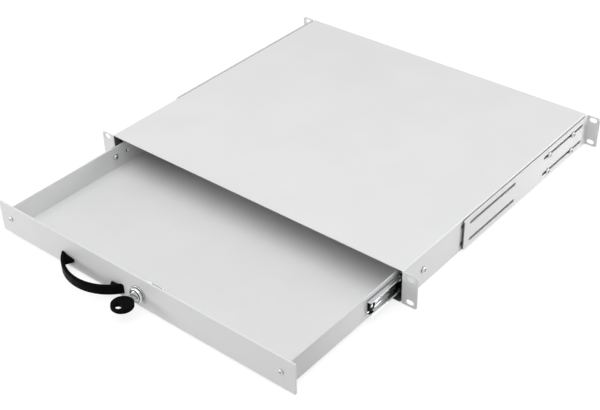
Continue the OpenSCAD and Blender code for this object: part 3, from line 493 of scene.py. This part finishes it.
def arc(centre, radius, start, end, steps=4):
    """Points of a rounded edge, from one angle to another."""
    angles = [math.radians(start + (end - start) * i / steps) for i in range(steps + 1)]
    return [(centre[0] + radius * math.cos(a), centre[1] + radius * math.sin(a)) for a in angles]


def lock_front():
    """The bore, the bezel with a groove in its face and an undercut behind it, and the flange."""
    bore = [(BORE_R, LOCK_BACK)]
    bore += arc((BORE_R + BORE_LIP_R, LOCK_FRONT + BORE_LIP_R), BORE_LIP_R, 180, 270)
    groove = [(radius, LOCK_FRONT + depth) for radius, depth in zip(GROOVE_R, GROOVE_DEPTH)]
    bezel = arc((RIM_R, LOCK_FRONT + RIM_EDGE_R), RIM_EDGE_R, 270, BEZEL_EDGE_TURN)
    barrel_edge = (BARREL_R - BARREL_EDGE_R, LOCK_FRONT + BARREL_EDGE_BACK)
    bezel += arc(barrel_edge, BARREL_EDGE_R, BEZEL_EDGE_TURN, 360)
    neck = BARREL_R - UNDERCUT_DEPTH
    undercut_from = -FLANGE_T - UNDERCUT_L
    undercut = [(BARREL_R, undercut_from - UNDERCUT_SLOPE), (neck, undercut_from), (neck, -FLANGE_T)]
    flange = arc((FLANGE_R - FLANGE_EDGE_R, FLANGE_EDGE_R - FLANGE_T), FLANGE_EDGE_R, 270, 360)
    flange += [(FLANGE_R, -FLANGE_CHAMFER), (FLANGE_R - FLANGE_CHAMFER, 0.0)]
    body = [(BODY_R, 0.0), (BODY_R, FLAT_FROM), (BODY_R, THREAD_FROM)]
    return bore + groove + bezel + undercut + flange + body


def threaded(turn, radius, along):
    """The radius on the thread, which runs out at both of its ends."""
    fade = min(1.0, (along - THREAD_FROM) / THREAD_PITCH, (THREAD_TO - along) / THREAD_PITCH)
    phase = (along / THREAD_PITCH - turn) % 1.0
    return radius - THREAD_DEPTH * fade * (1 - abs(2 * phase - 1))


def lock_barrel():
    """The lock's housing: a turned bezel with rounded edges, and a threaded body with two flats."""
    front = lock_front()
    steps = int((THREAD_TO - THREAD_FROM) / THREAD_PITCH * THREAD_STEPS)
    thread = [(BODY_R, THREAD_FROM + (THREAD_TO - THREAD_FROM) * i / steps) for i in range(1, steps)]
    outline = front + thread + [(BODY_R, THREAD_TO), (BODY_R - BODY_CHAMFER, LOCK_BACK)]
    on_thread = range(len(front), len(front) + len(thread))
    count = len(outline)
    points, faces = [], []
    for j in range(LOCK_AROUND):
        turn = j / LOCK_AROUND
        for i, (radius, along) in enumerate(outline):
            reach = threaded(turn, radius, along) if i in on_thread else radius
            x = reach * math.cos(2 * math.pi * turn)
            z = reach * math.sin(2 * math.pi * turn)
            if along > 0 and radius > BORE_R:
                z = max(-LOCK_FLAT, min(LOCK_FLAT, z))
            points.append(LOCK_CENTRE + MM * Vector((x, along, z)))
            after, beside = (i + 1) % count, (j + 1) % LOCK_AROUND
            faces.append((j * count + i, j * count + after, beside * count + after, beside * count + i))
    mesh = bpy.data.meshes.new("lock_barrel")
    mesh.from_pydata([point[:] for point in points], [], faces)
    mesh.update()
    piece = add_piece("lock_barrel", mesh, "drawer", "lock_chrome", "lock_housing")
    split = piece.modifiers.new("split", "EDGE_SPLIT")
    split.split_angle = math.radians(LOCK_SPLIT_ANGLE)
    return piece


# Stage

FLOOR_Z = cad_box[0][Z]
FLOOR_HALF = 6.0
FLOOR_ALBEDO = 0.56
FLOOR_SEEN_ALBEDO = 0.30
FLOOR_SEEN_GLOW = 0.77
WORLD_LEVEL = 0.40
WHITE = grey(1.0)
SOFTBOXES = {
    "top_light": {"at": (0.1, -0.25, 1.5), "aim": (0.0, 0.0, 0.0), "size": 2.2, "watts": 22.3},
    "right_light": {"at": (0.95, 0.75, 0.12), "aim": (0.22, 0.25, 0.0), "size": 0.4, "watts": 5.5},
    "front_light": {"at": (-1.3, -1.2, 0.2), "aim": (-0.2, -0.15, 0.0), "size": 0.7, "watts": 13.6},
}


def background_rays(tree):
    """1 for the rays that show the background: straight to the camera, in gloss or through glass."""
    path = tree.add("ShaderNodeLightPath")
    gloss = tree.maths("MAXIMUM", path.outputs["Is Glossy Ray"], path.outputs["Is Transmission Ray"])
    return tree.maths("MAXIMUM", path.outputs["Is Camera Ray"], gloss)


def make_floor():
    """A pale matt floor, which the camera sees as white with a soft shadow."""
    s = Shader("floor", **{"Roughness": 0.9, "Specular IOR Level": 0.0, "Emission Color": (*WHITE, 1.0)})
    seen = background_rays(s)
    s.set("Base Color", s.mixed(seen, grey(FLOOR_ALBEDO), grey(FLOOR_SEEN_ALBEDO)))
    s.set("Emission Strength", s.product(seen, FLOOR_SEEN_GLOW))
    mesh = bpy.data.meshes.new("floor")
    around = [(-1, -1), (1, -1), (1, 1), (-1, 1)]
    mesh.from_pydata([(x * FLOOR_HALF, y * FLOOR_HALF, FLOOR_Z) for x, y in around], [], [(0, 1, 2, 3)])
    mesh.materials.append(s.material)
    floor = bpy.data.objects.new("floor", mesh)
    SCENE.collection.objects.link(floor)


def make_world():
    """Even studio light, and plain white where the background shows."""
    world = bpy.data.worlds.new("studio")
    SCENE.world = world
    t = Tree(world)
    level = t.mixed(background_rays(t), grey(WORLD_LEVEL), WHITE)
    background = t.add("ShaderNodeBackground", {"Color": level, "Strength": 1.0})
    output = t.add("ShaderNodeOutputWorld")
    t.link(background.outputs[0], output.inputs[0])


def softbox(name, at, aim, size, watts):
    data = bpy.data.lights.new(name, "AREA")
    data.shape = "SQUARE"
    data.size = size
    data.energy = watts
    lamp = bpy.data.objects.new(name, data)
    SCENE.collection.objects.link(lamp)
    lamp.location = at
    lamp.rotation_euler = (Vector(aim) - Vector(at)).to_track_quat("-Z", "Y").to_euler()
    lamp.visible_camera = False


SCENE.view_settings.view_transform = "Standard"
make_camera()
make_world()
make_floor()
for name, values in SOFTBOXES.items():
    softbox(name, **values)

dress_nodes()
softened("handle_moulding", "handle", "drawer", "black_plastic", voxel_mm=0.45, passes=5)
softened("key_head_moulding", "key_head", "key", "black_plastic", voxel_mm=0.25, passes=2)
lock_barrel()
